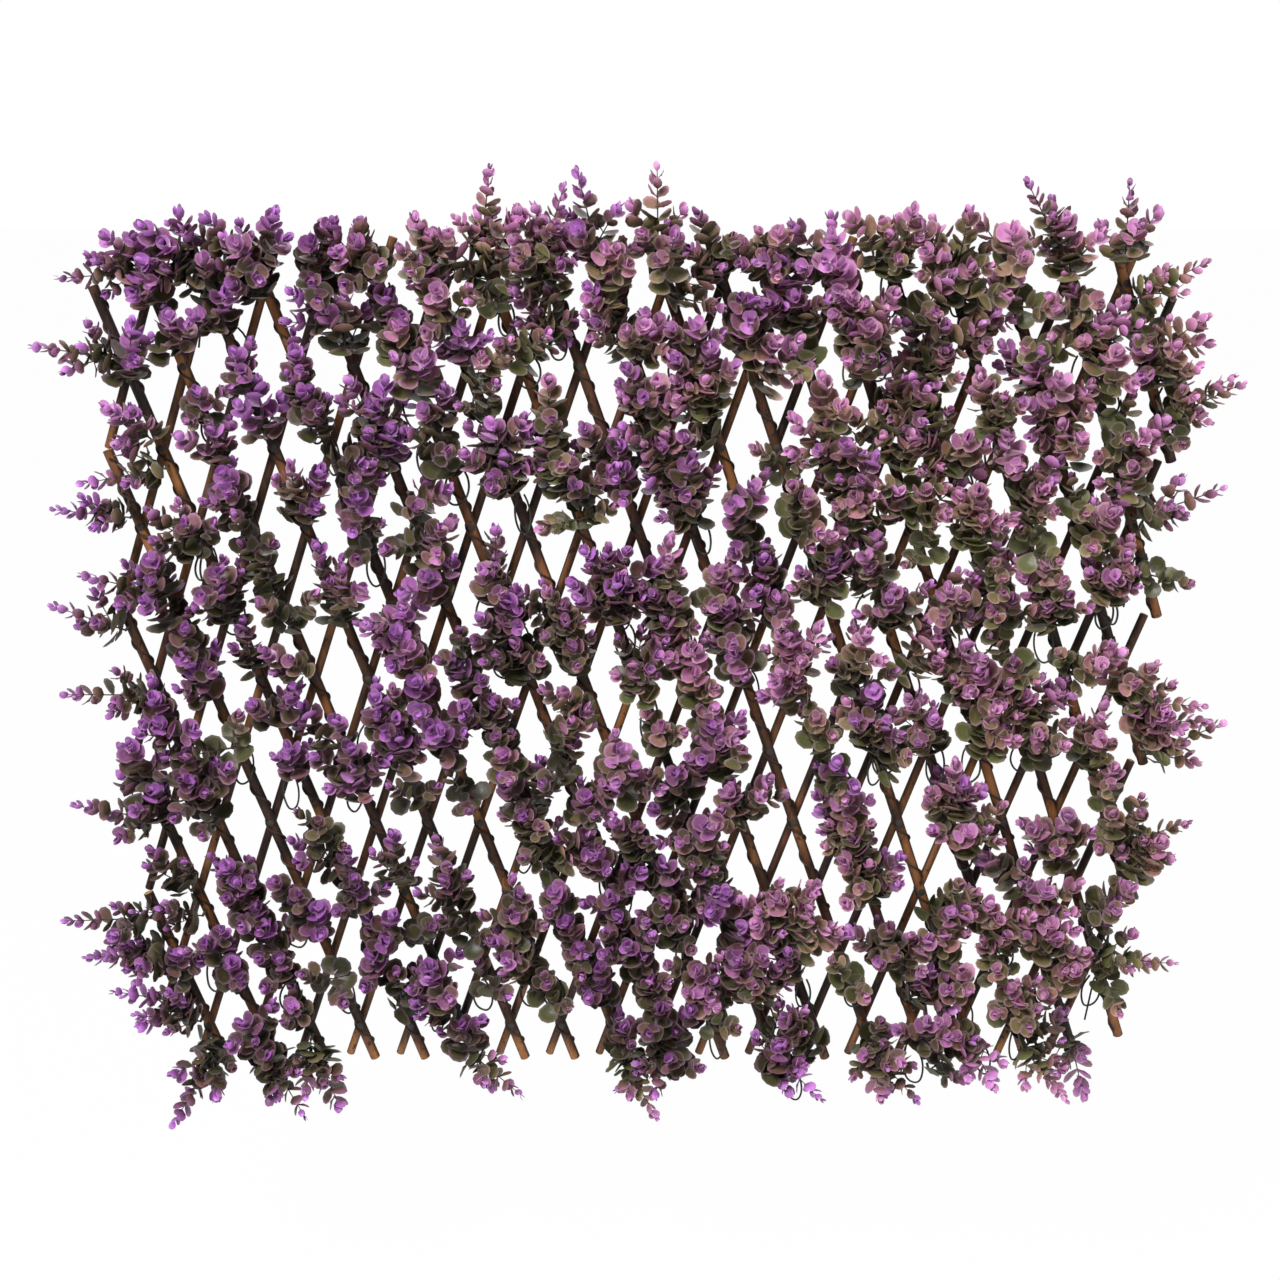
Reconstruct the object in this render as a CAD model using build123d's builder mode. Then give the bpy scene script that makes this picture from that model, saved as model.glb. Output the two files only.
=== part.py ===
"""An expanding willow trellis dressed with artificial leaf sprays.

Twenty-three front sticks lean one way and twenty-three back sticks lean the other way.
A nail at every crossing makes the two layers a scissor lattice that opens and closes.
Leaf garlands are wound round the front sticks, and their sprays face the viewer.
X runs to the right, Z up, and the viewer stands on the -Y side.
The origin is the centre crossing, between the two layers of sticks.
"""

import math
import os
import random

from build123d import *

# The lattice, open as it hangs
pitch = 43.0
row_rise = 62.1
sticks_each_side = 11
rows_each_side = 5
columns_each_side = 18

# Willow sticks
front_diameter = 8.2
back_diameter = 6.8
layer_gap = 0.3
end_stub = 35.0
front_low_overrun = 12.0
front_high_overrun = -2.0
back_low_overrun = 2.0
back_high_overrun = -12.0
end_chamfer = 0.5

# Nails through the crossings
nail_diameter = 2.0
nail_snug = 0.02
nail_running = 0.06
nail_head_diameter = 5.6
nail_head_height = 0.9
nail_head_seat = 0.1
clinch_diameter = 4.0
clinch_height = 0.8
clinch_seat = 0.3

# The vine wound round a front stick
vine_diameter = 1.9
vine_seat = 0.3
vine_end_inset = 6.0
turns_per_side = 2
arc_pairs_per_turn = 4

# The shoots that run from a vine to the sprays on the stick beside it
shoot_diameter = 1.6
shoot_rise = 0.3
shoot_seat = 0.15

# The socket and stems of a spray
neck_diameter = 2.4
neck_seat = 0.3
short_neck = 11.0
long_neck = 26.0
socket_diameter = 4.4
stem_base_diameter = 2.6
stem_tip_diameter = 1.4
tip_stalk = 4.0

# The leaves of a spray, in opposite pairs
leaf_thickness = 1.0
first_pair = 11.0
pair_spacing = 11.5
leaf_diameters = (15.0, 13.0, 10.5, 8.0)
leaf_stalk = 0.2
leaf_fold = 52.0

# Where a spray sits on its stick
above_crossing = 10.0
below_crossing = 22.0
stub_inset = 7.0
least_spray_gap = 0.5

# A spray's branchlets: how far each leans to the side, and its share of the full length
full_branchlets = ((0, 1.0), (-34, 0.74), (34, 0.74))
tall_branchlets = ((0, 1.3), (-40, 0.6), (40, 0.6))

# The ways a spray can point: its bearing from upright, its kind and its tilts to the front
ways = {
    "u": (0, "full", (35, 55, 75)),
    "f": (0, "full", (75, 55, 35)),
    "l": (-42, "full", (35, 55, 75)),
    "r": (42, "full", (35, 55, 75)),
    "d": (165, "full", (55, 75, 35)),
    "U": (0, "tall", (12, 40)),
    "L": (-88, "tall", (12, 40)),
    "R": (88, "tall", (12, 40)),
    "D": (165, "tall", (12, 40)),
}

# The planting of each front stick: its top end, its crossings downwards, its bottom end
planting = {
    -11: "L L L D",
    -10: "f L l f f d",
    -9: "L L f u f f u d",
    -8: "l L f r . . l l . .",
    -7: "L Lu l l f r f f u f . .",
    -6: "l f f f . l l lr . r f f D",
    -5: "L f u u r u . u u u l . .",
    -4: "L u f u u f u u . d . f .",
    -3: "l f u u u u f f rd f r . D",
    -2: "f r f u l u u u ur f l f D",
    -1: "u f u r . d f . . f u f D",
    0: "U u l u . u . u f r r R .",
    1: "lu l . f . l f fu u f u . .",
    2: "U f l l l f u . . . . d D",
    3: "U f f ud u u f u f . f f .",
    4: "lu lr u . u l u f d . u . D",
    5: "u f r u u u d r u . f f R",
    6: "u f f u u . f . . l f . .",
    7: "u l u u r u f . f l R .",
    8: "U f u u u rd . f R r",
    9: "U u f u r u R R",
    10: "U f f d lR r",
    11: ". R rR .",
}
bearing_spread = 14
turns_to_try = (0, 12, -12, 24, -24, 36, -36, 50, -50)
planting_seed = 7

front_radius = front_diameter / 2
back_radius = back_diameter / 2
front_y = -(layer_gap / 2 + front_radius)
back_y = layer_gap / 2 + back_radius
front_crest = front_y - front_radius
back_crest = back_y + back_radius
side = math.hypot(pitch / 2, row_rise)
half_angle = math.degrees(math.atan2(pitch / 2, row_rise))
stick_numbers = range(-sticks_each_side, sticks_each_side + 1)


def crossings(stick):
    """The crossings on a stick, counted in sides of the lattice from its middle."""
    low = max(-rows_each_side - stick, stick - columns_each_side)
    high = min(rows_each_side - stick, stick + columns_each_side)
    return range(low, high + 1)


def reach(stick, low_overrun, high_overrun):
    """How far down and up a stick runs: a stub past the outer row, or to the edge's corner."""
    low, high = crossings(stick)[0], crossings(stick)[-1]
    if low == -rows_each_side - stick:
        bottom = low * side - end_stub
    else:
        bottom = (low - 1) * side - low_overrun
    if high == rows_each_side - stick:
        top = high * side + end_stub
    else:
        top = (high + 1) * side + high_overrun
    return bottom, top


def front_frame(stick, along=0):
    """The place of a point on a front stick, which leans up and to the left."""
    return Location((pitch / 2 * stick, 0, row_rise * stick), (0, -half_angle, 0)) * Location((0, 0, along))


def back_frame(stick, along=0):
    """The place of a point on a back stick, which leans up and to the right."""
    return Location((-pitch / 2 * stick, 0, row_rise * stick), (0, half_angle, 0)) * Location((0, 0, along))


def make_stick(radius, centre_y, ends, holes_at, hole_clearance):
    """A round stick along Z, drilled for its nails from front to back."""
    bottom, top = ends
    with BuildPart() as wood:
        with BuildSketch(Plane.XY.offset(bottom)):
            with Locations((0, centre_y)):
                Circle(radius)
        extrude(amount=top - bottom)
        chamfer(wood.faces().filter_by(GeomType.PLANE).edges(), end_chamfer)
        with Locations([Location((0, centre_y, at), (90, 0, 0)) for at in holes_at]):
            Hole(nail_diameter / 2 + hole_clearance)
    return wood.part


def make_nail():
    """A nail along Y: a low domed head in front, and its clinched end behind."""
    head_face = front_crest - nail_head_seat
    head_top = head_face - nail_head_height
    clinch_face = back_crest + clinch_seat
    clinch_end = clinch_face + clinch_height
    shank = nail_diameter / 2
    head = nail_head_diameter / 2
    clinch = clinch_diameter / 2
    with BuildPart() as nail:
        with BuildSketch(Plane.XY):
            with BuildLine():
                Polyline(
                    (0, head_top),
                    (shank, head_top),
                    (head, head_top + nail_head_height / 2),
                    (head, head_face),
                    (shank, head_face),
                    (shank, clinch_face),
                    (clinch, clinch_face),
                    (clinch, clinch_end),
                    (0, clinch_end),
                    close=True,
                )
            make_face()
        revolve(axis=Axis.Y)
    return nail.part


def vine_points(bottom, top):
    """Points a quarter turn apart on the vine's centre line, each with its direction."""
    radius = front_radius + vine_seat + vine_diameter / 2
    step = side / turns_per_side / arc_pairs_per_turn
    first = math.ceil((bottom + vine_end_inset) / step)
    last = math.floor((top - vine_end_inset) / step)
    points = []
    for count in range(first, last + 1):
        turn = 2 * math.pi * count / arc_pairs_per_turn
        place = Vector(-radius * math.cos(turn), front_y + radius * math.sin(turn), count * step)
        rate = 2 * math.pi / (arc_pairs_per_turn * step)
        heading = Vector(radius * rate * math.sin(turn), radius * rate * math.cos(turn), 1)
        points.append((place, heading.normalized()))
    return points


def make_vine(bottom, top):
    """The vine as one round tube, on two arcs for each quarter turn."""
    points = vine_points(bottom, top)
    with BuildPart() as vine:
        with BuildLine() as route:
            for (start, leaving), (end, arriving) in zip(points, points[1:]):
                chord = end - start
                both = leaving + arriving
                spread = 2 * (1 - leaving.dot(arriving))
                swing = chord.dot(both)
                reach_in = (math.sqrt(swing**2 + spread * chord.dot(chord)) - swing) / spread
                near = start + leaving * reach_in
                far = end - arriving * reach_in
                middle = (near + far) / 2
                TangentArc(start, middle, tangent=leaving)
                TangentArc(middle, end, tangent=far - near)
        with BuildSketch(Plane(origin=points[0][0], z_dir=points[0][1])):
            Circle(vine_diameter / 2)
        sweep()
    length = sum(edge.length for edge in route.edges())
    share = vine.part.volume / (length * math.pi * vine_diameter**2 / 4)
    turns = (len(points) - 1) / arc_pairs_per_turn
    print(f"vine: {turns:.2f} turns, {length:.0f} mm long, volume share {share:.4f}")
    return vine.part


def seen_from(frame, point):
    """Where a point of a frame lies on the whole lattice."""
    return (frame * Location(point)).position


def make_shoot(stick, foot):
    """A side shoot from where the vine on a stick crosses its front to a neck on the next stick."""
    frame = front_frame(stick)
    points = vine_points(*reach(stick, front_low_overrun, front_high_overrun))
    crest = min(place.Y for place, _ in points)
    end = Vector(foot.X, crest - shoot_rise, foot.Z)
    choices = []
    for place, heading in points:
        if place.Y < crest + vine_seat:
            start = seen_from(frame, place)
            run = end - start
            slant = abs(run.normalized().dot(seen_from(frame, place + heading) - start))
            choices.append((run.length * (1 + slant), slant, start, run))
    _, slant, start, run = min(choices, key=lambda choice: choice[0])
    radius = shoot_diameter / 2
    near = (vine_diameter / 2 + shoot_seat + radius * slant) / math.sqrt(1 - slant**2)
    far = run.length - neck_diameter / 2 - shoot_seat
    with BuildPart() as shoot:
        with BuildSketch(Plane(origin=start + run.normalized() * near, z_dir=run)):
            Circle(radius)
        extrude(amount=far - near)
    return shoot.part


def least_vine_gap(bottom, top):
    """The least gap between the vine and its own next turns, measured on points."""
    places = [place for place, _ in vine_points(bottom, top)]
    gaps = [
        (one - other).length - vine_diameter
        for count, one in enumerate(places)
        for other in places[count + arc_pairs_per_turn // 2 + 1 :]
    ]
    return min(gaps)


def crown_axes(neck, tilt):
    """A crown's middle, the way it points and the way its inner face looks."""
    lean = math.radians(tilt)
    middle = Vector(0, front_crest - neck_seat - neck, 0)
    return middle, Vector(0, -math.sin(lean), math.cos(lean)), Vector(0, -math.cos(lean), -math.sin(lean))


def branchlet_pairs(kind, neck, tilt):
    """Each leaf pair of a spray: its node, its stem's direction, its leaves' way out and its diameter."""
    middle, crown_up, face = crown_axes(neck, tilt)
    pairs = []
    for lean, share in full_branchlets if kind == "full" else tall_branchlets:
        along = crown_up.rotate(Axis((0, 0, 0), face), lean)
        across = along.cross(face)
        for count, diameter in enumerate(leaf_diameters):
            node = middle + along * (first_pair + pair_spacing * count) * share
            outward = face if count % 2 else across
            pairs.append((node, along, outward, diameter * (1 + share) / 2))
    return pairs


def make_spray(kind, neck, tilt):
    """One moulded spray: a neck, a socket, three stems and their leaves in opposite pairs."""
    middle, crown_up, face = crown_axes(neck, tilt)
    fold = math.radians(leaf_fold)
    with BuildPart() as spray:
        with BuildSketch(Plane.XZ.offset(-middle.Y)):
            Circle(neck_diameter / 2)
        extrude(amount=-neck)
        with Locations(middle):
            Sphere(socket_diameter / 2)
        for lean, share in full_branchlets if kind == "full" else tall_branchlets:
            along = crown_up.rotate(Axis((0, 0, 0), face), lean)
            height = (first_pair + pair_spacing * (len(leaf_diameters) - 1)) * share + tip_stalk
            with Locations(Plane(origin=middle, x_dir=face, z_dir=along).location):
                Cone(
                    stem_base_diameter / 2,
                    stem_tip_diameter / 2,
                    height,
                    align=(Align.CENTER, Align.CENTER, Align.MIN),
                )
        for node, along, outward, diameter in branchlet_pairs(kind, neck, tilt):
            for away in (outward, -outward):
                blade = along * math.cos(fold) + away * math.sin(fold)
                normal = along * math.sin(fold) - away * math.cos(fold)
                centre = node + blade * (diameter / 2 + leaf_stalk)
                with BuildSketch(Plane(origin=centre, x_dir=blade, z_dir=normal)):
                    Circle(diameter / 2)
        extrude(amount=leaf_thickness / 2, both=True)
    return spray.part


def crown_balls(kind, neck, tilt):
    """Balls that hold a spray's leaf pairs, each with its middle and radius."""
    fold = math.radians(leaf_fold)
    balls = []
    for node, along, _, diameter in branchlet_pairs(kind, neck, tilt):
        rise = diameter * math.cos(fold) / 2
        balls.append((node + along * rise, diameter * math.sin(fold)))
    return balls


def spray_sites():
    """Each spray of the planting: its stick, its place along it and the way it points."""
    sites = []
    for stick, words in planting.items():
        bottom, top = reach(stick, front_low_overrun, front_high_overrun)
        nodes = list(crossings(stick))[::-1]
        places = [top - stub_inset] + [node * side + above_crossing for node in nodes] + [bottom + stub_inset]
        for place, word in zip(places, words.split()):
            for count, way in enumerate(word.strip(".")):
                sites.append((stick, place - count * (above_crossing + below_crossing), way))
    return sites


def least_gap(balls, taken):
    """The least gap between a spray's balls and those of the sprays beside it."""
    return min(
        ((one - other).length - radius - far for one, radius in balls for other, far in taken),
        default=least_spray_gap,
    )


def settle(sites, draw):
    """Turns and tilts each spray until it clears the sprays that are in place already."""
    kept_balls = {}
    placed, taken = [], []
    for stick, place, way in sites:
        bearing, kind, tilts = ways[way]
        bearing += draw.uniform(-bearing_spread, bearing_spread)
        foot = front_frame(stick, place).position
        near = [(middle, radius) for middle, radius in taken if (middle - foot).length < 3 * side / 2 + long_neck]
        best = None
        for tilt, neck, turn in [(t, n, b) for n in (short_neck, long_neck) for t in tilts for b in turns_to_try]:
            key = (kind, neck, tilt)
            if key not in kept_balls:
                kept_balls[key] = crown_balls(*key)
            at = Location(foot, (0, bearing + turn, 0))
            balls = [((at * Location(middle)).position, radius) for middle, radius in kept_balls[key]]
            gap = least_gap(balls, near)
            if best is None or gap > best[0]:
                best = (gap, key, at, balls)
            if gap >= least_spray_gap:
                break
        if best[0] < 0:
            print(f"no room for the spray on stick {stick} at {place:.0f} mm: gap {best[0]:.1f} mm")
            continue
        placed.append((stick, best[1], best[2]))
        taken += best[3]
    return placed


def host(stick):
    """The stick whose vine carries a stick's sprays: itself, or its neighbour towards the middle."""
    if stick % 2:
        return stick
    return stick - 1 if stick > 0 else stick + 1


def export_node(pieces, name):
    """Writes one node, its pieces sharing the shapes that they repeat."""
    node = Compound(label=name, children=pieces)
    export_step(node, f"parts/{name}.step", write_pcurves=False)


os.makedirs("parts", exist_ok=True)
nail = make_nail()
export_node([nail], "centre_nail")

for stick in stick_numbers:
    nodes = [node * side for node in crossings(stick)]
    ends = reach(stick, front_low_overrun, front_high_overrun)
    wood = make_stick(front_radius, front_y, ends, nodes, nail_snug)
    pieces = [wood.moved(front_frame(stick))]
    pieces += [nail.moved(front_frame(stick, node)) for node in nodes if stick or node]
    export_node(pieces, f"front_stick_{stick + sticks_each_side + 1:02d}")

    ends = reach(stick, back_low_overrun, back_high_overrun)
    wood = make_stick(back_radius, back_y, ends, nodes, nail_running)
    export_node([wood.moved(back_frame(stick))], f"back_stick_{sticks_each_side + 1 - stick:02d}")

placed_sprays = settle(spray_sites(), random.Random(planting_seed))
templates = {key: make_spray(*key) for key in sorted({key for _, key, _ in placed_sprays})}
print(f"{len(placed_sprays)} sprays from {len(templates)} templates")

for count, stick in enumerate(stick for stick in stick_numbers if stick % 2):
    ends = reach(stick, front_low_overrun, front_high_overrun)
    pieces = [make_vine(*ends).moved(front_frame(stick))]
    print(f"least gap between the turns of vine {count + 1}: {least_vine_gap(*ends):.1f} mm")
    for spray_stick, key, at in placed_sprays:
        if host(spray_stick) == stick:
            pieces.append(templates[key].moved(at))
            if spray_stick != stick:
                pieces.append(make_shoot(stick, at.position))
    export_node(pieces, f"leaf_garland_{count + 1:02d}")
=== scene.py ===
"""Dresses the willow trellis: bark, wound vines, stem loops, wire ties and moulded leaf sprays."""

import math
import random

import bpy
from mathutils import Matrix, Vector


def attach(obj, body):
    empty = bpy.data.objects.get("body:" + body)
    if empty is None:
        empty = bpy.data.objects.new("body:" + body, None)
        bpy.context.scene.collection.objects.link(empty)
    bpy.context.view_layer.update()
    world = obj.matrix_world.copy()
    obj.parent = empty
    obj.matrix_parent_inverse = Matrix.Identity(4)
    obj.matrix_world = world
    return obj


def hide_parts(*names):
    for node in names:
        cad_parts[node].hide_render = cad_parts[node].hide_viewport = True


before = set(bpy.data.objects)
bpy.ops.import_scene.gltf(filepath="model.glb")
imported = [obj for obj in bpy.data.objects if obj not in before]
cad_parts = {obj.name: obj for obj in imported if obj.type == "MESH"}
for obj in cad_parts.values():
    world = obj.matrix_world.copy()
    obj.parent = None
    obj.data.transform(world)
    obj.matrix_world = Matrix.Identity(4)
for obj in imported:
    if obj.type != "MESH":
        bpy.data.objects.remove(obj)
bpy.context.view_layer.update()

# The photograph's view
view_distance = 1.43
view_elevation = math.radians(17.8)
view_lens = 50.0
view_sensor = 36.0
shift_right = 0.0023
shift_up = 0.0281
clip_near = 0.05
clip_far = 100

# The lattice: its crossings across and upwards, its sticks, and how far these run past
# their last crossing, or past where the next one would be at the sides
pitch = 0.043
row_rise = 0.0621
sticks_each_side = 11
rows_each_side = 5
columns_each_side = 18
front_diameter = 0.0082
back_diameter = 0.0068
layer_gap = 0.0003
end_stub = 0.035
low_overrun = 0.012
high_overrun = -0.002
side = math.hypot(pitch / 2, row_rise)
half_angle = math.atan2(pitch / 2, row_rise)
front_y = -(layer_gap + front_diameter) / 2
front_crest = front_y - front_diameter / 2
back_crest = layer_gap / 2 + back_diameter

# The vines, wound round the front sticks, and how finely a tube follows its points
vine_diameter = 0.0019
vine_seat = 0.0003
vine_end_inset = 0.006
turns_per_side = 2
points_per_turn = 8
tube_order = 4
tube_steps = 2
tube_roundness = 1

# A leaf, in shares of its own length. Its rim is what lies past a share of the way out from its
# middle, and its back counts as half as near to the tip as its front.
crease = math.radians(60)
rim_points = 10
leaf_cup_share = 0.20
leaf_thickness_share = 0.035
leaf_border_share = 0.11
round_width_share = 0.94
oval_width_share = 0.66
leaf_waist_share = 0.40
leaf_waist_reach_share = 0.40
leaf_side_lift_share = 0.45
leaf_middle_share = 0.5
leaf_rim_share = 0.9
leaf_back_tip_share = 0.5

# Where the sprays stand on a stick: how far below a crossing, and how far in from an end
upper_drop = -0.010
middle_drop = 0.014
lower_drop = 0.036
stub_insets = {"open": 0.016, "upright": 0.030, "head": 0.030, "tuft": 0.024}
place_spread = 0.004

# The neck that holds a spray on its stick, and the stems of its branchlets. Where a leaf keeps
# its age, its chance and the like, a stem keeps one plain number.
neck_length = 0.011
neck_diameter = 0.0024
stem_diameter = 0.0017
stem_tip_diameter = stem_diameter / 3
stem_sides = 6
stem_crease = math.radians(70)
stem_number = 0.3

# Leaf pairs along a branchlet: distance from its foot, leaf length and how far it opens
rosette_pairs = (
    (0.006, 0.0195, 74),
    (0.013, 0.0190, 64),
    (0.020, 0.0175, 54),
    (0.0265, 0.0155, 44),
    (0.032, 0.0135, 34),
    (0.036, 0.0115, 22),
)
upright_pairs = (
    (0.008, 0.0190, 70),
    (0.017, 0.0185, 61),
    (0.0255, 0.0175, 53),
    (0.0335, 0.0155, 45),
    (0.0405, 0.0135, 37),
    (0.0455, 0.0115, 27),
    (0.049, 0.0090, 16),
)
open_pairs = (
    (0.009, 0.0160, 68),
    (0.018, 0.0160, 62),
    (0.027, 0.0150, 56),
    (0.0355, 0.0140, 50),
    (0.043, 0.0125, 44),
    (0.0505, 0.0110, 38),
    (0.0575, 0.0090, 30),
    (0.063, 0.0070, 20),
)
side_pairs = (
    (0.011, 0.0175, 64),
    (0.020, 0.0165, 53),
    (0.028, 0.0145, 42),
    (0.034, 0.0120, 30),
    (0.038, 0.0090, 18),
)

# The branchlets: their leaf pairs, and the age of the leaves at their foot. Age runs from green
# at 0 to purple at 1, which the last pair of a branchlet has.
branchlet_kinds = {
    "rosette": (rosette_pairs, 0.26),
    "upright": (upright_pairs, 0.20),
    "open": (open_pairs, 0.06),
    "side": (side_pairs, 0.30),
}
variants = 6

# How the leaves of a branchlet stray: turn and twist in radians, tilt in degrees, size as a share
leaf_turn_spread = 0.35
leaf_twist_spread = 0.25
leaf_tilt_spread = 13
leaf_place_spread = 0.001
leaf_sizes = (0.9, 1.1)
foot_round_chance = 0.95
tip_round_loss = 0.85

# The skirt of green leaves round a spray's foot: where they stand, their tilts in degrees, their
# sizes and their ages, each from least to most. A leaf turns by up to a share of the room
# between two of them, and so does a side branchlet.
skirt_leaf = 0.0190
skirt_leaves = 5
skirt_reach = 0.004
skirt_heights = (-0.002, 0.006)
skirt_tilts = (-5, 50)
skirt_sizes = (0.8, 1.08)
skirt_ages = (0.0, 0.18)
skirt_turn_spread = 0.25
skirt_twist_spread = 0.4

# A spray's size, and the ageing that is added to its leaves' ages. Chance sets it for a spray and
# again for each of its branchlets, but a tuft is always young and green.
spray_sizes = (0.84, 1.04)
usual_ageing = -0.06
ageing_spread = 0.12
tuft_ageing = -0.28
own_ageing_spread = 0.05

# The side branchlets of a spray
arm_heights = (0.001, 0.010)
arm_sizes = (0.72, 0.98)
arm_turn_spread = 0.2

# What a spray of each kind has: its middle branchlet, the number of its side branchlets,
# and the least and most that these lean, in degrees
spray_kinds = {
    "head": ("rosette", 2, (28, 56)),
    "upright": ("upright", 2, (20, 46)),
    "open": ("open", 3, (22, 52)),
    "tuft": (None, 2, (20, 60)),
}

# Each way a spray points: bearing from upright, tilt to the front and its kind
ways = {
    "f": (0, 38, "head"),
    "u": (0, 18, "upright"),
    "l": (-38, 19, "upright"),
    "r": (38, 19, "upright"),
    "d": (165, 45, "upright"),
    "g": (0, 50, "tuft"),
    "U": (0, 12, "open"),
    "v": (-35, 14, "open"),
    "L": (-82, 15, "open"),
    "R": (70, 15, "open"),
    "D": (165, 12, "open"),
    "p": (-140, 20, "open"),
    "q": (135, 20, "open"),
}
bearing_spread = 18
tilt_spread = 14

# The planting of each front stick: its top end, its crossings downwards, its bottom end.
# A crossing has up to three places, parted by commas: the upper, the middle and the lower one.
# Letters say which ways the sprays of a place point, and a dot is bare.
planting = {
    -11: "L LL,f,L L pd",
    -10: "u fL l,L f,f ,f,f q",
    -9: "L ,L,f f,f,fr g f,lf,f f,f f,d d",
    -8: ". L Lf,l,f f,f g . ,l,f ,g . .",
    -7: ". L,u l,L ,lf f,f u,,r ,f ,f,l u,f r,f,r . .",
    -6: "f L,f f,,f ,f,f f,g l,g l l,f,f . u,,g ,f,f l,f q",
    -5: "L l,f,f ,f u ur u,u ,,fr f,f,g . u,f,g ,g . .",
    -4: "L fr,f ,f,f u,r,r f,g ,f,lf f,f fr,,g . ,f,f l,lg,g . .",
    -3: ". fr,g,l u ul,f r,g,f f g,l,f u,f lu,f,lr ,f,f f,f,f ,f D",
    -2: "lf g,,f f,f u,g . uf,f,l fg r,g fr,g,f r,f,f fl,f,f f,lr,f p",
    -1: "u g,f,f f,r,g ,fr,fl . ,lf,f f,,l ,f,f ,l,l f,fr,f ,f,fr g .",
    0: "Ul r,g gr u,g,lr g ulr,f gr,f f,,rl ,fl,g g,f,r fr,f,lr ,r,f q",
    1: "Ul gr,l,l . ,fl,f . ug,lf fl,f,f f,fg fr ,fr,lr r,l ,l .",
    2: "Uf r,f,l lf,,lf l,fl,lf ugl f,fr,f f . . . ,g ,g,f qd",
    3: "U f,r fl,f,fl l f,l uf,f url,l f,g,f f,fl,fl rlg fl,r,r ,f,r .",
    4: "l g,,fr f,r ,g fg,,r fg u,g,f fl,r . ,r,r f,f,l ,l d",
    5: "l lf,f,lf g u,fl,r fl,r,f l,fr r lf ufg,fr ,,rf r,l,f fr,r q",
    6: "Lf ,f,fr fg,l,r lr,f,g fr,g ,fr f,fl,fr f . l,fr,f f,fr . d",
    7: "u fl,,r r,fl,l l,fl f,fl,g ug,fl g,l,fr fg ,fl,l ,r,r R,g .",
    8: "u gl,f,r f,,g l,f,g fr,g f,fl gr f,l,f ,fR,r r",
    9: ". f,g g,l,f lr,f g,fr ufr ,fRl,R fR",
    10: "vu ,g,l fr,f g,gr,f R,,g .",
    11: "U ,R,g r,lf,RR g",
}
planting_seed = 11
seed_stride = 100
stick_numbers = range(-sticks_each_side, sticks_each_side + 1)

# Stem loops that hang out of the garlands, two in three of them to the right: the share of sprays
# with a loop, its size, and how it strays
loop_share = 0.30
loop_width = 0.016
loop_drop = 0.027
loop_diameter = 0.0017
loop_points = 13
loop_sweep = math.radians(155)
loop_swing = 0.012
loop_lean = 0.3
loop_sides = (-1, 1, 1)
loop_width_shares = (0.7, 1.2)
loop_drop_shares = (0.75, 1.25)
loop_swing_shares = (0.8, 1.2)
loop_foot_share = 1 / 3

# The wires that tie garlands at the edges, each with its stick, a crossing and how far below it
wire_diameter = 0.0016
tie_turns = 3
tie_spacing = 1.15 * wire_diameter
tie_tail_points = 5
tie_tail = Vector((-0.006, -0.003, -0.040))
ties = (
    (7, -11, 0.022),
    (11, -6, 0.017),
    (10, -8, 0.030),
    (9, -8, 0.036),
    (3, -8, 0.010),
    (-5, 10, 0.012),
)

# Willow bark from its dark patches to its warm ones, its cut wood, and the steel of the nails
# where they stand out of a stick
front_bark = ((0.020, 0.010, 0.007), (0.115, 0.043, 0.017), (0.42, 0.165, 0.048))
back_bark = ((0.026, 0.013, 0.009), (0.130, 0.052, 0.021), (0.38, 0.160, 0.052))
bark_places = (0.18, 0.50, 0.86)
cut_wood = (0.62, 0.38, 0.17)
dull_steel = (0.05, 0.045, 0.04)
nail_rise = 0.00006
nail_blur = 0.00002

# The marks in the bark: how many to a metre, how they stretch along the stick, and how far they
# sway its tone
bark_tone = 0.46
streak_scale = 800
streak_detail = 4
streak_rough = 0.62
streak_stretch = (1, 1, 0.12)
streak_sway = 0.5
fibre_scale = 2600
patch_scale = 15
patch_sway = 2.3
blotch_scale = 70
blotch_stretch = (1, 1, 0.5)
blotch_sway = 0.7
knot_scale = 150
knot_stretch = (1, 1, 0.8)

# Where the bark is paler, near the panel's top and foot, where it is dark at knots, where painted
# shade darkens a stick's flanks, and where it is cut off: the edge, its blur and how much it shows
paling_height = 0.32
paling_blur = 0.08
paling_sway = 0.28
knot_edge = 0.64
knot_blur = 0.08
knot_share = 0.8
shaded_flank_edge = 0.74
shaded_flank_blur = 0.30
shaded_flank_share = 0.75
cut_edge = 0.85
cut_blur = 0.1

# The feel of the bark
bark_roughness = 0.66
streak_gloss = 0.25
bark_relief = 0.0008
bark_bump = 0.9
streak_relief = 0.6
fibre_relief = 0.2
blotch_relief = 0.5
knot_relief = 0.4

# Leaf colours, from a branchlet's foot to its tip, on the cool, shaded side and on the warm, lit side
# of the panel: partly a real change of hue, and partly painted light, as the warm side is lighter
leaf_places = (0.04, 0.30, 0.46, 0.66, 0.92)
shaded_cool_leaf = (
    (0.058, 0.056, 0.023),
    (0.110, 0.080, 0.040),
    (0.175, 0.080, 0.078),
    (0.320, 0.100, 0.320),
    (0.490, 0.170, 0.590),
)
lit_warm_leaf = (
    (0.130, 0.140, 0.048),
    (0.235, 0.190, 0.085),
    (0.370, 0.195, 0.150),
    (0.520, 0.205, 0.380),
    (0.690, 0.300, 0.600),
)
shaded_cool_rim = (0.48, 0.28, 0.44)
lit_warm_rim = (0.78, 0.52, 0.58)

# Where the warm side with its painted light begins across the panel, how softly, and what height,
# drift and flush add
lit_side_middle = 0.08
lit_side_blur = 0.9
height_light_and_warmth = 0.35
drift_light_and_warmth = 0.9
flush_light_and_warmth = 0.7
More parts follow.
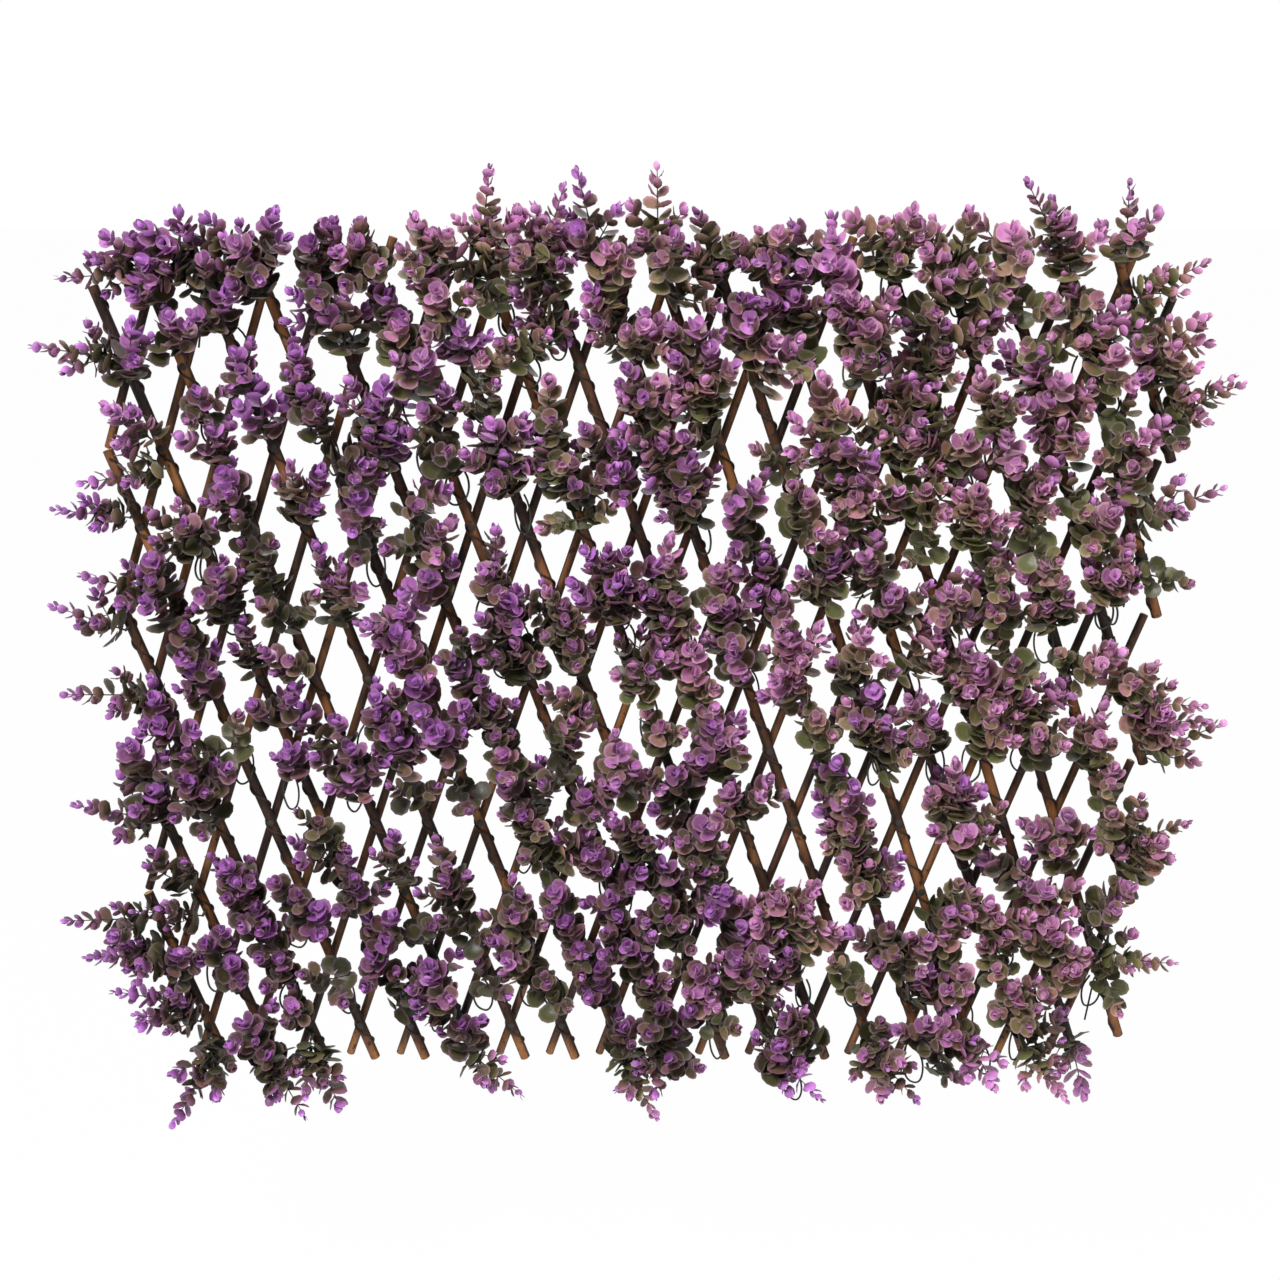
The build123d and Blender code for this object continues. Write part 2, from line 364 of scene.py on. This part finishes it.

# The marks on the leaves: how many to a metre, how far they and the rest sway the colour between
# foot and tip, and how light they make it. A leaf is darkened towards its foot by painted shade.
drift_scale = 12
mottle_scale = 300
vein_scale = 1500
chance_sway = 0.24
mottle_sway = 0.20
drift_sway = 0.5
tip_sway = 0.16
leaf_shade = 0.38
chance_shade = 0.75
mottle_shade = 0.4
foot_painted_shade = 0.45

# A leaf's pale rim, which shows more with age, and the feel of the moulded plastic
rim_edge = 0.80
rim_blur = 0.36
rim_share = 0.26
rim_ageing = 0.5
leaf_roughness = 0.28
mottle_roughness = 0.24
leaf_coat = 0.12
leaf_coat_roughness = 0.30
leaf_relief = 0.0004
leaf_bump = 0.4

# The plastic of stems and wires
vine_colour = (0.030, 0.016, 0.011)
vine_roughness = 0.6
loop_colour = (0.018, 0.019, 0.013)
stem_colour = (0.050, 0.050, 0.030)
stem_roughness = 0.5
wire_colour = (0.010, 0.013, 0.011)
wire_roughness = 0.45
stem_relief = 0.0002
stem_bump = 0.3
spot_scale = 260
spot_lift = 2.2
grain_scale = 900

# The centre nail's steel
dark_steel = (0.10, 0.09, 0.08)
bright_steel = (0.28, 0.27, 0.26)
steel_places = (0.3, 0.7)
steel_scale = 500
steel_detail = 3
steel_rough = 0.55
steel_roughness = 0.45
steel_shine = 0.9

# The floor, the sky, and the lamps with their places, widths and watts
floor_depth = 0.62
floor_size = 30
floor_colour = (0.86, 0.86, 0.86, 1.0)
floor_roughness = 0.9
floor_white_share = 0.985
white = (1, 1, 1, 1)
sky_strength = 0.18
lamps = {
    "key_lamp": ((-0.9, -1.7, 1.9), 0.9, 66),
    "fill_lamp": ((1.6, -1.6, 0.9), 1.4, 13),
    "back_lamp": ((0.3, 1.6, 1.4), 1.6, 14),
}


def deselect():
    """Leaves nothing selected, so that an operator acts only on what it is given."""
    if bpy.context.mode != "OBJECT":
        bpy.ops.object.mode_set(mode="OBJECT")
    bpy.ops.object.select_all(action="DESELECT")


def join(pieces, name):
    """Joins pieces into one, under a name."""
    deselect()
    for piece in pieces:
        piece.select_set(True)
    bpy.context.view_layer.objects.active = pieces[0]
    bpy.ops.object.join()
    pieces[0].name = name
    pieces[0].data.name = name
    return pieces[0]


def crossings(stick):
    """The crossings on a stick, counted in sides of the lattice from its middle."""
    low = max(-rows_each_side - stick, stick - columns_each_side)
    high = min(rows_each_side - stick, stick + columns_each_side)
    return range(low, high + 1)


def reach(stick):
    """How far down and up a front stick runs."""
    low, high = crossings(stick)[0], crossings(stick)[-1]
    bottom = low * side - end_stub if low == -rows_each_side - stick else (low - 1) * side - low_overrun
    top = high * side + end_stub if high == rows_each_side - stick else (high + 1) * side + high_overrun
    return bottom, top


def front_place(stick):
    """The matrix of a front stick's frame: Z along the stick, the viewer on its -Y side."""
    middle = Matrix.Translation((pitch / 2 * stick, 0, row_rise * stick))
    return middle @ Matrix.Rotation(-half_angle, 4, "Y")


# The camera
bpy.ops.object.camera_add()
camera = bpy.context.object
camera.name = "camera"
camera.data.lens = view_lens
camera.data.sensor_width = view_sensor
camera.data.shift_x = shift_right
camera.data.shift_y = shift_up
camera.data.clip_start = clip_near
camera.data.clip_end = clip_far
camera.location = (0, -view_distance * math.cos(view_elevation), view_distance * math.sin(view_elevation))
camera.rotation_euler = (math.pi / 2 - view_elevation, 0, 0)
bpy.context.scene.camera = camera


class Value:
    """A number that runs through a tree of nodes, with plain arithmetic."""

    def __init__(self, nodes, socket):
        self.nodes = nodes
        self.socket = socket

    def math(self, operation, *others):
        return self.nodes.node("ShaderNodeMath", {"operation": operation}, dict(enumerate((self, *others))))

    def __add__(self, other):
        return self.math("ADD", other)

    def __radd__(self, other):
        return self.math("ADD", other)

    def __sub__(self, other):
        return self.math("SUBTRACT", other)

    def __rsub__(self, other):
        return self.nodes.node("ShaderNodeMath", {"operation": "SUBTRACT"}, {0: other, 1: self})

    def __mul__(self, other):
        return self.math("MULTIPLY", other)

    def __rmul__(self, other):
        return self.math("MULTIPLY", other)

    def stray(self, reach):
        """Takes a number that runs from 0 to 1 to either side of 0, over a reach."""
        return (self - 0.5) * reach

    def above(self, edge, softness):
        """Rises from 0 to 1 as the value passes an edge."""
        return self.nodes.node(
            "ShaderNodeMapRange",
            {"interpolation_type": "SMOOTHSTEP"},
            {"Value": self, "From Min": edge - softness / 2, "From Max": edge + softness / 2},
        )


class Nodes:
    """A tree of shader nodes, grown node by node."""

    def __init__(self, tree):
        self.tree = tree

    def node(self, kind, settings, sockets, output=0):
        """Adds a node, sets it up, fills its sockets and returns one of its outputs."""
        made = self.tree.nodes.new(kind)
        for name, value in settings.items():
            if name == "stops":
                ramp = made.color_ramp
                while len(ramp.elements) < len(value):
                    ramp.elements.new(1.0)
                for element, (place, colour) in zip(ramp.elements, value):
                    element.position = place
                    element.color = (*colour, 1.0)
            else:
                setattr(made, name, value)
        for name, value in sockets.items():
            if isinstance(value, Value):
                self.tree.links.new(value.socket, made.inputs[name])
            else:
                made.inputs[name].default_value = value
        return Value(self, made.outputs[output])

    def show_white(self, lit, bright, share, output):
        """Lets the camera see a share of plain white, and leaves the light what is lit."""
        seen = self.node("ShaderNodeLightPath", {}, {}, "Is Camera Ray")
        mixed = self.node("ShaderNodeMixShader", {}, {0: seen * share, 1: lit, 2: bright})
        self.tree.links.new(mixed.socket, self.tree.nodes[output].inputs["Surface"])


class Finish(Nodes):
    """A material with one shader."""

    def __init__(self, name, roughness, bump_height=0.0):
        self.material = bpy.data.materials.new(name)
        self.material.use_nodes = True
        super().__init__(self.material.node_tree)
        self.shader = self.tree.nodes["Principled BSDF"]
        self.shader.inputs["Roughness"].default_value = roughness
        self.bump_height = bump_height

    def place(self, turn=(0, 0, 0), stretch=(1, 1, 1)):
        """Object coordinates, turned and stretched."""
        here = self.node("ShaderNodeTexCoord", {}, {}, "Object")
        return self.node("ShaderNodeMapping", {}, {"Vector": here, "Rotation": turn, "Scale": stretch})

    def noise(self, where, scale, detail=2, rough=0.5):
        """Noise from 0 to 1 at a scale per metre."""
        sockets = {"Vector": where, "Scale": scale, "Detail": detail, "Roughness": rough}
        return self.node("ShaderNodeTexNoise", {}, sockets, "Fac")

    def part_of(self, where, axis):
        """One coordinate of a place."""
        return self.node("ShaderNodeSeparateXYZ", {}, {0: where}, axis)

    def attribute(self, name):
        """A number kept on the mesh."""
        return self.node("ShaderNodeAttribute", {"attribute_name": name}, {}, "Fac")

    def ramp(self, value, places, colours):
        """A colour that changes with a value, given at places from 0 to 1."""
        stops = tuple(zip(places, colours))
        return self.node("ShaderNodeValToRGB", {"stops": stops}, {"Fac": value}, "Color")

    def facing(self, direction):
        """How straight the surface looks along a direction, either way."""
        normal = self.node("ShaderNodeTexCoord", {}, {}, "Normal")
        settings = {"operation": "DOT_PRODUCT"}
        along = self.node("ShaderNodeVectorMath", settings, {0: normal, 1: direction}, "Value")
        return along.math("ABSOLUTE")

    def blend(self, share, first, second, way="MIX"):
        """Mixes two colours."""
        settings = {"data_type": "RGBA", "blend_type": way}
        first = first if isinstance(first, Value) else (*first, 1.0)
        second = second if isinstance(second, Value) else (*second, 1.0)
        return self.node("ShaderNodeMix", settings, {0: share, 6: first, 7: second}, 2)

    def wear(self, colour, roughness=None, bump=None, strength=1.0):
        """Links what changes over the surface to the shader."""
        self.tree.links.new(colour.socket, self.shader.inputs["Base Color"])
        if roughness is not None:
            self.tree.links.new(roughness.socket, self.shader.inputs["Roughness"])
        if bump is not None:
            sockets = {"Height": bump, "Strength": strength, "Distance": self.bump_height}
            raised = self.node("ShaderNodeBump", {}, sockets)
            self.tree.links.new(raised.socket, self.shader.inputs["Normal"])
        return self.material


def willow(name, lean, bark):
    """Dry willow bark: streaks along the stick, darker patches, painted shade on its flanks, pale cut ends
    and dull nails.
    """
    finish = Finish(name, bark_roughness, bark_relief)
    dark = bark[0]
    turn = (0, lean, 0)
    plain = finish.place()
    streaks = finish.noise(finish.place(turn, streak_stretch), streak_scale, streak_detail, streak_rough)
    fibres = finish.noise(finish.place(turn, streak_stretch), fibre_scale)
    patches = finish.noise(plain, patch_scale)
    blotches = finish.noise(finish.place(turn, blotch_stretch), blotch_scale)
    knots = finish.noise(finish.place(turn, knot_stretch), knot_scale)
    # The bark grows paler towards the panel's top and foot
    paling = finish.part_of(plain, "Z").math("ABSOLUTE").above(paling_height, paling_blur)
    tone = patches.stray(patch_sway) + streaks.stray(streak_sway) + blotches.stray(blotch_sway)
    tone = tone + paling * paling_sway + bark_tone
    colour = finish.ramp(tone, bark_places, bark)
    colour = finish.blend(knots.above(knot_edge, knot_blur) * knot_share, colour, dark)
    # Painted shade: a stick's flanks, which face sideways across the panel, are darkened towards its
    # darkest bark
    shaded_flank = finish.facing((math.cos(lean), 0, math.sin(lean)))
    colour = finish.blend(shaded_flank.above(shaded_flank_edge, shaded_flank_blur) * shaded_flank_share, colour, dark)
    level = finish.facing((math.sin(-lean), 0, math.cos(lean)))
    colour = finish.blend(level.above(cut_edge, cut_blur), colour, cut_wood)
    depth = finish.part_of(plain, "Y")
    heads = (front_crest - depth).above(nail_rise, nail_blur)
    clinches = (depth - back_crest).above(nail_rise, nail_blur)
    colour = finish.blend(heads + clinches, colour, dull_steel)
    rough = bark_roughness - streaks * streak_gloss
    relief = streaks * streak_relief + fibres * fibre_relief
    relief = relief + blotches * blotch_relief + knots * knot_relief
    return finish.wear(colour, rough, relief, bark_bump)


def leaf_plastic():
    """Moulded leaves: green at a branchlet's foot, dusty mauve, then purple at its tip."""
    finish = Finish("moulded_leaf", leaf_roughness, leaf_relief)
    finish.shader.inputs["Coat Weight"].default_value = leaf_coat
    finish.shader.inputs["Coat Roughness"].default_value = leaf_coat_roughness
    age = finish.attribute("age")
    chance = finish.attribute("chance")
    rim = finish.attribute("rim")
    tip = finish.attribute("tip")
    flush = finish.attribute("flush")
    place = finish.place()
    drift = finish.noise(place, drift_scale)
    mottle = finish.noise(place, mottle_scale)
    veins = finish.noise(place, vein_scale)
    # Painted light and a real change of hue: leaves grow lighter and pinker towards the panel's right and
    # top, and with drift and each spray's flush
    side_light = finish.part_of(place, "X") + finish.part_of(place, "Z") * height_light_and_warmth
    light_and_warmth = side_light + drift.stray(drift_light_and_warmth) + flush.stray(flush_light_and_warmth)
    across = light_and_warmth.above(lit_side_middle, lit_side_blur)
    tone = age + chance.stray(chance_sway) + mottle.stray(mottle_sway)
    tone = tone + drift.stray(drift_sway) + tip.stray(tip_sway)
    cool_shaded_colour = finish.ramp(tone, leaf_places, shaded_cool_leaf)
    warm_lit_colour = finish.ramp(tone, leaf_places, lit_warm_leaf)
    # Lightness: at random for each leaf and in spots, with painted shade that darkens each leaf towards its
    # foot
    shade = leaf_shade + chance * chance_shade + mottle.stray(mottle_shade) + tip * foot_painted_shade
    shades = finish.node("ShaderNodeCombineColor", {}, {0: shade, 1: shade, 2: shade})
    colour = finish.blend(1.0, finish.blend(across, cool_shaded_colour, warm_lit_colour), shades, "MULTIPLY")
    edge = rim.above(rim_edge, rim_blur) * (rim_share + tone * rim_ageing)
    colour = finish.blend(edge, colour, finish.blend(across, shaded_cool_rim, lit_warm_rim))
    return finish.wear(colour, leaf_roughness + mottle * mottle_roughness, veins, leaf_bump)


def dark_plastic(name, colour, roughness):
    """A plastic-covered stem or wire, a little uneven in colour."""
    finish = Finish(name, roughness, stem_relief)
    place = finish.place()
    spots = finish.noise(place, spot_scale)
    grain = finish.noise(place, grain_scale)
    lighter = tuple(channel * spot_lift for channel in colour)
    return finish.wear(finish.blend(spots, colour, lighter), bump=grain, strength=stem_bump)


def nail_metal():
    """The centre nail's dull, spotted steel."""
    finish = Finish("nail_steel", steel_roughness)
    finish.shader.inputs["Metallic"].default_value = steel_shine
    spots = finish.noise(finish.place(), steel_scale, steel_detail, steel_rough)
    return finish.wear(finish.ramp(spots, steel_places, (dark_steel, bright_steel)))


moulded_leaf = leaf_plastic()
vine_plastic = dark_plastic("vine_plastic", vine_colour, vine_roughness)
loop_plastic = dark_plastic("loop_plastic", loop_colour, stem_roughness)
stem_plastic = dark_plastic("stem_plastic", stem_colour, stem_roughness)
wire_plastic = dark_plastic("wire_plastic", wire_colour, wire_roughness)

node_finishes = {
    "front_stick": willow("front_willow", half_angle, front_bark),
    "back_stick": willow("back_willow", -half_angle, back_bark),
    "centre_nail": nail_metal(),
}
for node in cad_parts:
    for beginning, finish in node_finishes.items():
        if node.startswith(beginning):
            cad = bpy.data.objects[node]
            cad.data.materials.clear()
            cad.data.materials.append(finish)


def keep_number(piece, name, number):
    """Keeps one number on every point of a piece's mesh."""
    mesh = piece.data
    kept = mesh.attributes.get(name) or mesh.attributes.new(name, "FLOAT", "POINT")
    kept.data.foreach_set("value", [number] * len(mesh.vertices))


def make_leaf(name, width_share):
    """One leaf, a metre long until it is copied: its foot at the origin, along +Y, cupped towards +Z."""
    deselect()
    bpy.ops.mesh.primitive_cone_add(
        vertices=rim_points,
        radius1=leaf_middle_share,
        radius2=0,
        depth=leaf_cup_share,
        end_fill_type="NGON",
    )
    leaf = bpy.context.object
    leaf.name = name
    bpy.ops.object.mode_set(mode="EDIT")
    bpy.ops.mesh.select_mode(type="FACE")
    bpy.ops.mesh.select_all(action="DESELECT")
    bpy.ops.mesh.select_face_by_sides(number=rim_points)
    bpy.ops.mesh.inset(thickness=leaf_border_share)
    bpy.ops.mesh.poke()
    bpy.ops.mesh.select_all(action="SELECT")
    bpy.ops.transform.rotate(value=math.pi, orient_axis="X", center_override=(0, 0, 0))
    bpy.ops.transform.translate(value=(0, leaf_middle_share, leaf_cup_share / 2))
    bpy.ops.object.mode_set(mode="OBJECT")
    mesh = leaf.data
    rims, tips = [], []
    for point in mesh.vertices:
        from_middle = point.co.y - leaf_middle_share
        out = math.hypot(point.co.x, from_middle) / leaf_middle_share
        front = point.co.z > leaf_cup_share / 2
        lift = leaf_side_lift_share + (1 - leaf_side_lift_share) * abs(from_middle) / leaf_middle_share
        if front:
            point.co.z = leaf_thickness_share + (leaf_cup_share * lift - leaf_thickness_share) * out**2
        waist = leaf_waist_share + (1 - leaf_waist_share) * min(1.0, point.co.y / leaf_waist_reach_share)
        point.co.x *= width_share * waist
        rims.append(1.0 if out > leaf_rim_share else 0.0)
        tips.append(point.co.y if front else point.co.y * leaf_back_tip_share)
    mesh.attributes.new("rim", "FLOAT", "POINT").data.foreach_set("value", rims)
    mesh.attributes.new("tip", "FLOAT", "POINT").data.foreach_set("value", tips)
    for kept in ("age", "chance", "flush"):
        keep_number(leaf, kept, 0.0)
    bpy.ops.object.shade_smooth_by_angle(angle=crease)
    leaf.data.materials.append(moulded_leaf)
    return leaf


def make_stem(length, foot_diameter, tip_diameter):
    """A tapering stem along +Z from the origin."""
    deselect()
    bpy.ops.mesh.primitive_cone_add(
        vertices=stem_sides,
        radius1=foot_diameter / 2,
        radius2=tip_diameter / 2,
        depth=length,
        location=(0, 0, length / 2),
    )
    bpy.ops.object.transform_apply(location=True)
    bpy.ops.object.shade_smooth_by_angle(angle=stem_crease)
    stem = bpy.context.object
    stem.data.materials.append(stem_plastic)
    for kept in ("rim", "tip", "age", "chance", "flush"):
        keep_number(stem, kept, stem_number)
    return stem


def copy_of(piece, matrix):
    """A copy of a piece with its own mesh, moved by a matrix."""
    made = piece.copy()
    made.data = piece.data.copy()
    made.data.transform(matrix)
    bpy.context.collection.objects.link(made)
    return made


round_leaf = make_leaf("round_leaf", round_width_share)
oval_leaf = make_leaf("oval_leaf", oval_width_share)


def make_branchlet(name, pairs, foot_age, draw):
    """A stem with its leaves in opposite pairs, each pair turned a quarter from the last."""
    last_height, last_length, _ = pairs[-1]
    pieces = [make_stem(last_height + last_length / 2, stem_diameter, stem_tip_diameter)]
    for count, (height, length, opening) in enumerate(pairs):
        share = count / (len(pairs) - 1)
        for half in (0, 1):
            turn = math.pi * half + math.pi / 2 * count + draw.uniform(-leaf_turn_spread, leaf_turn_spread)
            tilt = math.radians(90 - opening + draw.uniform(-leaf_tilt_spread, leaf_tilt_spread))
            size = length * draw.uniform(*leaf_sizes)
            leaf = round_leaf if draw.random() < foot_round_chance - tip_round_loss * share else oval_leaf
            place = (
                Matrix.Translation((0, 0, height + draw.uniform(-leaf_place_spread, leaf_place_spread)))
                @ Matrix.Rotation(turn, 4, "Z")
                @ Matrix.Translation((0, stem_tip_diameter, 0))
                @ Matrix.Rotation(tilt, 4, "X")
                @ Matrix.Rotation(draw.uniform(-leaf_twist_spread, leaf_twist_spread), 4, "Y")
                @ Matrix.Scale(size, 4)
            )
            made = copy_of(leaf, place)
            keep_number(made, "age", foot_age + (1 - foot_age) * share)
            keep_number(made, "chance", draw.random())
            pieces.append(made)
    return join(pieces, name)


def make_skirt(name, draw):
    """The large green leaves round the foot of a spray."""
    pieces = []
    for count in range(skirt_leaves):
        turn = 2 * math.pi * (count + draw.uniform(-skirt_turn_spread, skirt_turn_spread)) / skirt_leaves
        place = (
            Matrix.Rotation(turn, 4, "Z")
            @ Matrix.Translation((0, skirt_reach, draw.uniform(*skirt_heights)))
            @ Matrix.Rotation(math.radians(draw.uniform(*skirt_tilts)), 4, "X")
            @ Matrix.Rotation(draw.uniform(-skirt_twist_spread, skirt_twist_spread), 4, "Y")
            @ Matrix.Scale(skirt_leaf * draw.uniform(*skirt_sizes), 4)
        )
        made = copy_of(round_leaf, place)
        keep_number(made, "age", draw.uniform(*skirt_ages))
        keep_number(made, "chance", draw.random())
        pieces.append(made)
    return join(pieces, name)


draw = random.Random(planting_seed)
branchlets = {}
for kind, (pairs, foot_age) in branchlet_kinds.items():
    names = [f"{kind}_{count}" for count in range(variants)]
    branchlets[kind] = [make_branchlet(name, pairs, foot_age, draw) for name in names]
skirts = [make_skirt(f"skirt_{count}", draw) for count in range(variants)]
neck = make_stem(neck_length, neck_diameter, neck_diameter)


def shift_numbers(piece, ageing, chance, flush):
    """Makes a copied branchlet older or younger, shuffles its leaves' shades and gives it its flush."""
    keep_number(piece, "flush", flush)
    ages = piece.data.attributes["age"].data
    values = [0.0] * len(ages)
    ages.foreach_get("value", values)
    ages.foreach_set("value", [value + ageing for value in values])
    chances = piece.data.attributes["chance"].data
    chances.foreach_get("value", values)
    chances.foreach_set("value", [(value + chance) % 1.0 for value in values])


def make_spray(foot, bearing, tilt, kind, draw):
    """One spray at a point on a stick: skirt, middle branchlet, side branchlets and neck."""
    turn = Matrix.Rotation(math.radians(bearing), 4, "Y") @ Matrix.Rotation(math.radians(tilt), 4, "X")
    crown = Matrix.Translation(foot + Vector((0, -neck_length, 0))) @ turn
    middle, arms, leans = spray_kinds[kind]
    size = draw.uniform(*spray_sizes)
    ageing = draw.gauss(usual_ageing, ageing_spread)
    if kind == "tuft":
        ageing = tuft_ageing
    spin = Matrix.Rotation(draw.uniform(0, 2 * math.pi), 4, "Z")
    pieces = [copy_of(draw.choice(skirts), crown @ spin @ Matrix.Scale(size, 4))]
    if middle:
        pieces.append(copy_of(draw.choice(branchlets[middle]), crown @ spin @ Matrix.Scale(size, 4)))
    first = draw.uniform(0, 2 * math.pi)
    for count in range(arms):
        azimuth = first + 2 * math.pi * (count + draw.uniform(-arm_turn_spread, arm_turn_spread)) / arms
        place = (
            crown
            @ Matrix.Translation((0, 0, draw.uniform(*arm_heights)))
            @ Matrix.Rotation(azimuth, 4, "Z")
            @ Matrix.Rotation(math.radians(draw.uniform(*leans)), 4, "X")
            @ Matrix.Scale(size * draw.uniform(*arm_sizes), 4)
        )
        pieces.append(copy_of(draw.choice(branchlets["side"]), place))
    flush = draw.random()
    for piece in pieces:
        own_ageing = draw.uniform(-own_ageing_spread, own_ageing_spread)
        shift_numbers(piece, ageing + own_ageing, draw.random(), flush)
    pieces.append(copy_of(neck, Matrix.Translation(foot) @ Matrix.Rotation(math.pi / 2, 4, "X")))
    return pieces


def host_node(stick):
    """The node of the garland that carries a stick's sprays in the frame: each second stick has one."""
    host = stick
    if stick % 2 == 0:
        host = stick - 1 if stick > 0 else stick + 1
    return f"leaf_garland_{(host + sticks_each_side) // 2 + 1:02d}"


def make_tube(points, diameter, name, finish):
    """A round tube along points, closed at its ends."""
    deselect()
    bpy.ops.curve.primitive_nurbs_path_add()
    curve = bpy.context.object
    curve.data.splines.clear()
    line = curve.data.splines.new("NURBS")
    line.points.add(len(points) - 1)
    for point, place in zip(line.points, points):
        point.co = (*place, 1.0)
    line.order_u = tube_order
    line.use_endpoint_u = True
    curve.data.resolution_u = tube_steps
    curve.data.bevel_depth = diameter / 2
    curve.data.bevel_resolution = tube_roundness
    curve.data.use_fill_caps = True
    bpy.ops.object.convert(target="MESH")
    tube = bpy.context.object
    tube.name = name
    tube.data.name = name
    tube.data.materials.clear()
    tube.data.materials.append(finish)
    bpy.ops.object.shade_smooth_by_angle(angle=crease)
    return tube


def vine_route(stick):
    """The vine's helix round a front stick, in the stick's own frame."""
    bottom, top = reach(stick)
    radius = front_diameter / 2 + vine_seat + vine_diameter / 2
    step = side / turns_per_side / points_per_turn
    first = math.ceil((bottom + vine_end_inset) / step)
    last = math.floor((top - vine_end_inset) / step)
    route = []
    for count in range(first, last + 1):
        turn = 2 * math.pi * count / points_per_turn
        route.append(Vector((-radius * math.cos(turn), front_y + radius * math.sin(turn), count * step)))
    return route


def spray_sites(stick):
    """Each spray of a stick's planting: its place along the stick and the way it points."""
    bottom, top = reach(stick)
    top_word, *node_words, bottom_word = planting[stick].split()
    planted = [(top - stub_insets[ways[way][2]], way) for way in top_word if way in ways]
    planted += [(bottom + stub_insets[ways[way][2]], way) for way in bottom_word if way in ways]
    for node, word in zip(reversed(crossings(stick)), node_words):
        for drop, letters in zip((upper_drop, middle_drop, lower_drop), word.split(",")):
            planted += [(node * side - drop, way) for way in letters if way in ways]
    return planted


def loop_route(place, height, draw):
    """A stem loop in front of a stick: down from a neck, round and up again."""
    width = loop_width * draw.uniform(*loop_width_shares) * draw.choice(loop_sides)
    drop = loop_drop * draw.uniform(*loop_drop_shares)
    lean = Matrix.Rotation(draw.uniform(-loop_lean, loop_lean), 4, "Y")
    top = place @ Vector((0, front_crest, height))
    route = []
    for count in range(loop_points):
        turn = loop_sweep * (2 * count / (loop_points - 1) - 1)
        out = loop_swing * (loop_foot_share + math.cos(turn / 2) * draw.uniform(*loop_swing_shares))
        swing = Vector((width * (1 + math.sin(turn)) / 2, -out, -drop * (1 + math.cos(turn)) / 2))
        route.append(top + lean @ swing)
    return route


def tie_route(place, height):
    """A wire wound tightly round a stick, with a loose tail that hangs from it."""
    radius = front_diameter / 2 + wire_diameter / 2
    route = []
    for count in range(tie_turns * points_per_turn + 1):
        turn = 2 * math.pi * count / points_per_turn
        along = height + tie_spacing * count / points_per_turn
        route.append(place @ Vector((-radius * math.cos(turn), front_y + radius * math.sin(turn), along)))
    last = route[-1]
    for count in range(tie_tail_points):
        route.append(last + tie_tail * (count + 1) / tie_tail_points)
    return route


for stick in stick_numbers:
    draw = random.Random(planting_seed * seed_stride + stick)
    place = front_place(stick)
    number = f"{stick + sticks_each_side + 1:02d}"
    pieces = []
    wires = []
    for height, way in spray_sites(stick):
        bearing, tilt, kind = ways[way]
        foot = place @ Vector((0, front_crest, height + draw.uniform(-place_spread, place_spread)))
        bearing += draw.uniform(-bearing_spread, bearing_spread)
        pieces += make_spray(foot, bearing, tilt + draw.uniform(-tilt_spread, tilt_spread), kind, draw)
        if kind != "open" and draw.random() < loop_share:
            route = loop_route(place, height, draw)
            wires.append(make_tube(route, loop_diameter, "loop", loop_plastic))
    for tied_stick, node, drop in ties:
        if tied_stick == stick:
            route = tie_route(place, node * side - drop)
            wires.append(make_tube(route, wire_diameter, "tie", wire_plastic))
    garland = join(pieces, f"sprays_{number}")
    route = [place @ point for point in vine_route(stick)]
    vine = make_tube(route, vine_diameter, "vine", vine_plastic)
    vine = join([vine, *wires], f"vine_{number}")
    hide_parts(host_node(stick))
    for piece in (garland, vine):
        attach(piece, f"front_{number}")

shoots = [shoot for made in branchlets.values() for shoot in made]
for spare in (round_leaf, oval_leaf, neck, *skirts, *shoots):
    bpy.data.objects.remove(spare)

# The floor, which the camera sees nearly white and which keeps the trellis's shadow
deselect()
bpy.ops.mesh.primitive_plane_add(size=floor_size, location=(0, 0, -floor_depth))
floor = bpy.context.object
floor.name = "floor"
floor_finish = Finish("pale_floor", floor_roughness)
floor_finish.shader.inputs["Base Color"].default_value = floor_colour
glow = floor_finish.node("ShaderNodeEmission", {}, {"Color": white, "Strength": 1.0})
lit_floor = Value(floor_finish, floor_finish.shader.outputs[0])
floor_finish.show_white(lit_floor, glow, floor_white_share, "Material Output")
floor.data.materials.append(floor_finish.material)


def add_lamp(name, place, size, power):
    """A soft square lamp that looks at the trellis."""
    bpy.ops.object.light_add(type="AREA", location=place)
    lamp = bpy.context.object
    lamp.name = name
    lamp.data.size = size
    lamp.data.energy = power
    lamp.rotation_euler = (-Vector(place)).to_track_quat("-Z", "Y").to_euler()


for name, (place, size, power) in lamps.items():
    add_lamp(name, place, size, power)

# The sky, which the camera sees white
world = bpy.data.worlds.new("soft_sky")
bpy.context.scene.world = world
world.use_nodes = True
sky = Nodes(world.node_tree)
background = sky.tree.nodes["Background"]
background.inputs["Color"].default_value = white
background.inputs["Strength"].default_value = sky_strength
clear_sky = sky.node("ShaderNodeBackground", {}, {"Color": white, "Strength": 1.0})
sky.show_white(Value(sky, background.outputs[0]), clear_sky, 1.0, "World Output")

bpy.context.scene.view_settings.view_transform = "Standard"
